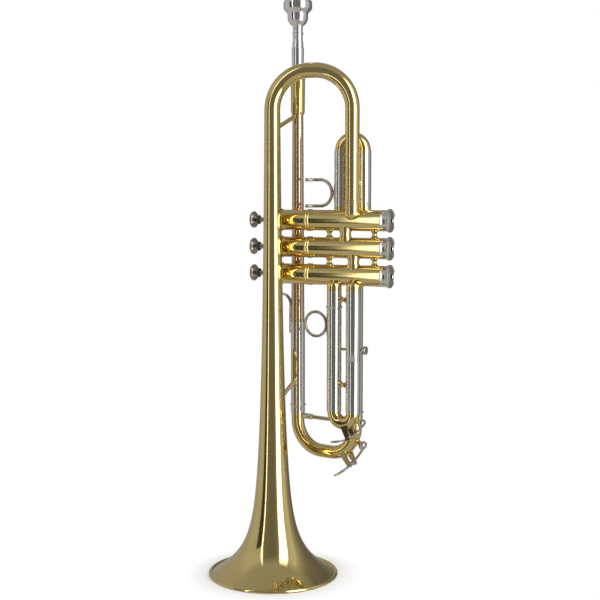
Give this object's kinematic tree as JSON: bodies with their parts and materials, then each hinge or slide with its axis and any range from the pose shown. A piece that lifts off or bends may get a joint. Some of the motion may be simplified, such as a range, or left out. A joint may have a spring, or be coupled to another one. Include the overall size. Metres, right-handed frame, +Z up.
{
  "type": "trumpet",
  "caption": "Piston-valve trumpet standing on its bell, with pressable valves, sliding tuning crooks, spring-closed water keys and a removable mouthpiece.",
  "frame": {"origin": "centre of the bell's flat rest face, on the surface that the trumpet stands on", "axes": "+Z up the bell's axis from the rim to the bow; +X along the valves, from the finger buttons to the bottom caps; +Y from the bell towards the mouthpipe"},
  "size_m": [0.1733, 0.1397, 0.5474],
  "materials": {
    "brass": "lacquered",
    "rose_brass": "lacquered",
    "nickel_silver": "polished",
    "silver": "polished",
    "monel": "satin",
    "button_nickel": "polished",
    "steel": "satin",
    "cork": "matte",
    "felt": "matte"
  },
  "bodies": {
    "trumpet": {"bell": "brass", "bell_rim_wire": "steel", "bell_bow": "brass", "bell_tail": "brass", "mouthpiece_receiver": "brass", "leadpipe": "rose_brass", "main_slide_upper_sleeve": "nickel_silver", "main_slide_lower_sleeve": "nickel_silver", "valve_casing_1": "brass", "valve_casing_2": "brass", "valve_casing_3": "brass", "top_cap_1": "nickel_silver", "top_cap_2": "nickel_silver", "top_cap_3": "nickel_silver", "bottom_cap_1": "nickel_silver", "bottom_cap_2": "nickel_silver", "bottom_cap_3": "nickel_silver", "valve_knuckles": "brass", "brass_struts": "brass", "first_slide_sleeves": "nickel_silver", "second_slide_sleeves": "nickel_silver", "third_slide_sleeves": "nickel_silver", "upper_bell_brace": "brass", "lower_bell_brace": "brass", "pinky_hook": "silver", "valve_guides": "brass", "lyre_socket": "nickel_silver", "valve_spring_1": "steel", "valve_spring_2": "steel", "valve_spring_3": "steel"},
    "mouthpiece": {"mouthpiece": "silver"},
    "main_slide": {"main_slide_crook": "brass", "main_slide_tubes": "nickel_silver", "main_slide_brace": "nickel_silver", "main_key_seat": "brass", "main_key_spring": "steel"},
    "main_key": {"main_water_key": "silver", "main_key_cork": "cork"},
    "third_slide": {"third_slide_crook": "brass", "third_slide_tubes": "nickel_silver", "finger_ring": "silver", "third_slide_strut": "brass", "third_key_seat": "brass", "third_key_spring": "steel"},
    "third_key": {"third_water_key": "silver", "third_key_cork": "cork"},
    "first_slide": {"first_slide_crook": "brass", "first_slide_tubes": "nickel_silver", "thumb_saddle": "silver"},
    "second_slide": {"second_slide_crook": "brass", "second_slide_tubes": "nickel_silver"},
    "valve_1": {"piston_1": "monel", "valve_button_1": "button_nickel", "valve_felts_1": "felt"},
    "valve_2": {"piston_2": "monel", "valve_button_2": "button_nickel", "valve_felts_2": "felt"},
    "valve_3": {"piston_3": "monel", "valve_button_3": "button_nickel", "valve_felts_3": "felt"}
  },
  "joints": [
    {"name": "valve_1_press", "type": "slide", "parent": "trumpet", "child": "valve_1", "axis": [1, 0, 0], "range_m": [0, 0.0165], "stiffness_N_per_m": 120, "springref_m": -0.012, "deforming": ["valve_spring_1"]},
    {"name": "valve_2_press", "type": "slide", "parent": "trumpet", "child": "valve_2", "axis": [1, 0, 0], "range_m": [0, 0.0165], "stiffness_N_per_m": 120, "springref_m": -0.012, "deforming": ["valve_spring_2"]},
    {"name": "valve_3_press", "type": "slide", "parent": "trumpet", "child": "valve_3", "axis": [1, 0, 0], "range_m": [0, 0.0165], "stiffness_N_per_m": 120, "springref_m": -0.012, "deforming": ["valve_spring_3"]},
    {"name": "mouthpiece_pull", "type": "slide", "parent": "trumpet", "child": "mouthpiece", "axis": [0, 0, 1], "range_m": [0, 0.0255]},
    {"name": "main_slide_pull", "type": "slide", "parent": "trumpet", "child": "main_slide", "axis": [0, 0, -1], "range_m": [0, 0.03]},
    {"name": "third_slide_pull", "type": "slide", "parent": "trumpet", "child": "third_slide", "axis": [0, 0, -1], "range_m": [0, 0.03]},
    {"name": "first_slide_pull", "type": "slide", "parent": "trumpet", "child": "first_slide", "axis": [0, 0, 1], "range_m": [0, 0.02]},
    {"name": "second_slide_pull", "type": "slide", "parent": "trumpet", "child": "second_slide", "axis": [0, 1, 0], "range_m": [0, 0.012]},
    {"name": "main_key_press", "type": "hinge", "parent": "main_slide", "child": "main_key", "pos_m": [0.06847, 0.03078, 0.10755], "axis": [0.1899, 0.9818, 0], "range_deg": [0, 18], "stiffness_Nm_per_rad": 0.02, "springref_deg": -28.65},
    {"name": "third_key_press", "type": "hinge", "parent": "third_slide", "child": "third_key", "pos_m": [0.07345, 0.01536, 0.13635], "axis": [0.1157, 0.9933, 0], "range_deg": [0, 18], "stiffness_Nm_per_rad": 0.02, "springref_deg": -28.65}
  ]
}
